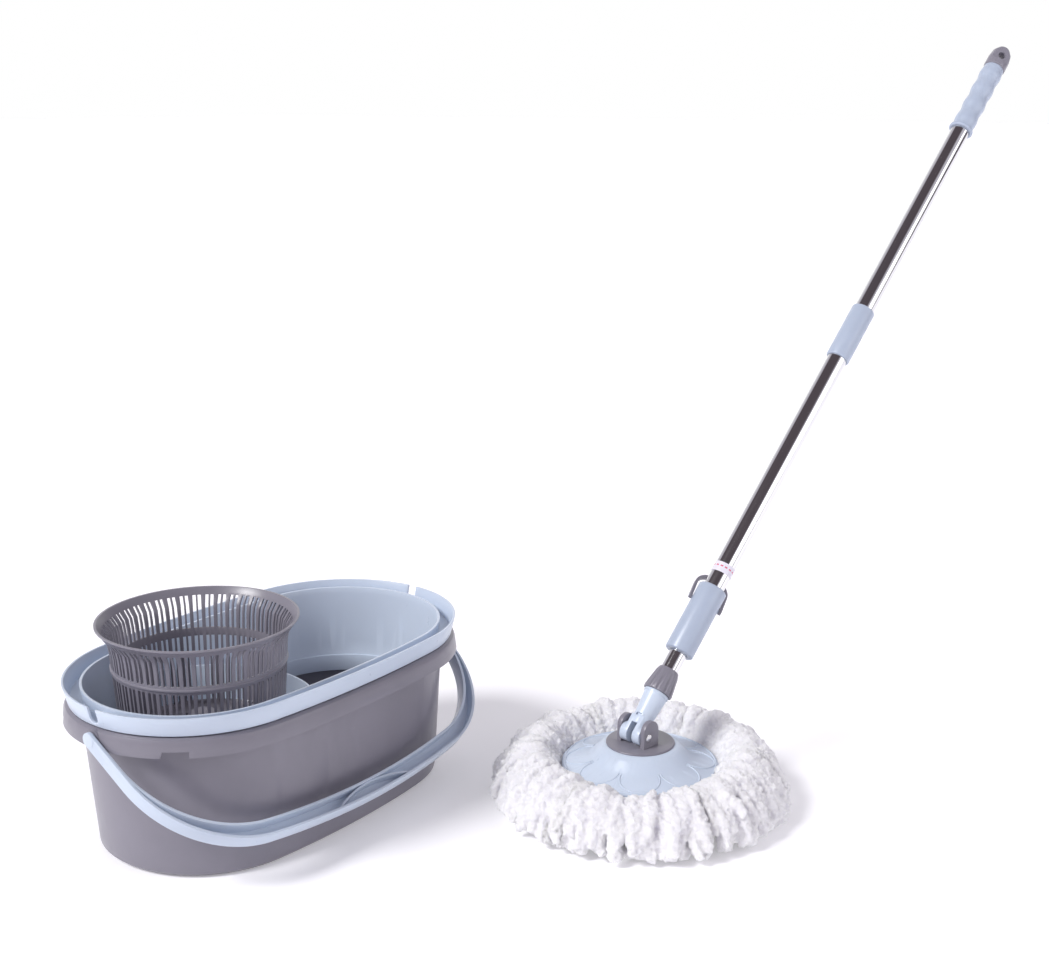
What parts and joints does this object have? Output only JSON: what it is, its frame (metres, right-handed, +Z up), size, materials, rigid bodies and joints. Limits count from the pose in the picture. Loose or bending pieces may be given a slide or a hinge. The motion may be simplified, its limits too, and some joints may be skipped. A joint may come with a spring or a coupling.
{
  "type": "spin mop",
  "caption": "Round-head microfibre mop with a press-to-spin telescopic pole, beside an oval bucket with a lift-out wringer tray, spinning basket and swing bail.",
  "frame": {"origin": "centre of the bucket's flat base, on the surface it stands on", "axes": "+X along the bucket to its rinsing end, +Y across it away from the hanging bail, +Z up"},
  "size_m": [1.0862, 0.596, 0.7606],
  "materials": {
    "grey_plastic": "semi-gloss moulded polypropylene",
    "blue_plastic": "semi-gloss moulded polypropylene",
    "white_plastic": "satin",
    "chrome_plate": "polished tube",
    "steel": "zinc plated",
    "yarn": "fluffy microfibre",
    "label_film": "plain printed film"
  },
  "bodies": {
    "bucket_body": {"bucket_shell": "grey_plastic"},
    "bail_body": {"bail": "blue_plastic"},
    "tray_body": {"wringer_tray": "blue_plastic", "basket_spindle": "steel", "thrust_washer": "white_plastic", "retaining_washer": "steel", "spindle_screw": "steel"},
    "basket_body": {"wringer_basket": "grey_plastic", "basket_bush": "white_plastic", "hub_cap": "grey_plastic"},
    "mop_head": {"mop_disc": "blue_plastic", "refill_ring": "white_plastic", "mop_yarn": "yarn", "hinge_plate": "grey_plastic", "plate_screws": "steel", "hinge_pin": "chrome_plate"},
    "neck_body": {"neck": "blue_plastic", "collet": "white_plastic", "collet_nut": "grey_plastic", "inner_pole": "chrome_plate", "nut_housing": "white_plastic", "drive_nut": "white_plastic", "nut_retainer": "white_plastic"},
    "bush_body": {"guide_bush": "white_plastic"},
    "pole_body": {"lock_sleeve": "blue_plastic", "lower_pole": "chrome_plate", "marker_band": "label_film", "mid_sleeve": "blue_plastic", "coupler_insert": "white_plastic", "rod_anchor": "white_plastic", "spiral_rod": "steel", "upper_pole": "chrome_plate", "grip": "blue_plastic", "hang_cap": "grey_plastic"},
    "lever_body": {"lock_lever": "grey_plastic"}
  },
  "joints": [
    {"name": "bail_swing", "type": "hinge", "parent": "bucket_body", "child": "bail_body", "pos_m": [0, 0, 0.14], "axis": [-1, 0, 0], "range_deg": [0, 252]},
    {"name": "tray_lift", "type": "slide", "parent": "bucket_body", "child": "tray_body", "axis": [0, 0, 1], "range_m": [0, 0.2]},
    {"name": "basket_spin", "type": "hinge", "parent": "tray_body", "child": "basket_body", "pos_m": [-0.0928, 0, 0.1], "axis": [0, 0, 1], "continuous": true},
    {"name": "mop_lift", "type": "slide", "parent": "bucket_body", "child": "mop_head", "axis": [0, 0, 1], "range_m": [0, 0.3]},
    {"name": "pole_tilt", "type": "hinge", "parent": "mop_head", "child": "neck_body", "pos_m": [0.20519, -0.30777, 0.07535], "axis": [0.1483, 0.9889, 0], "range_deg": [-123.9, 36.1]},
    {"name": "pole_press", "type": "slide", "parent": "neck_body", "child": "bush_body", "axis": [0.6857, -0.1028, 0.7206], "range_m": [0, 0.28]},
    {"name": "pole_spin", "type": "hinge", "parent": "bush_body", "child": "pole_body", "pos_m": [0.20519, -0.30777, 0.07535], "axis": [0.6857, -0.1028, 0.7206], "continuous": true},
    {"name": "lever_swing", "type": "hinge", "parent": "pole_body", "child": "lever_body", "pos_m": [0.31182, -0.32376, 0.1874], "axis": [-0.4096, 0.7639, 0.4988], "range_deg": [0, 90]}
  ],
  "couplings": [
    {"joint": "pole_spin", "follows": "pole_press", "rad_per_m": 83.776}
  ]
}
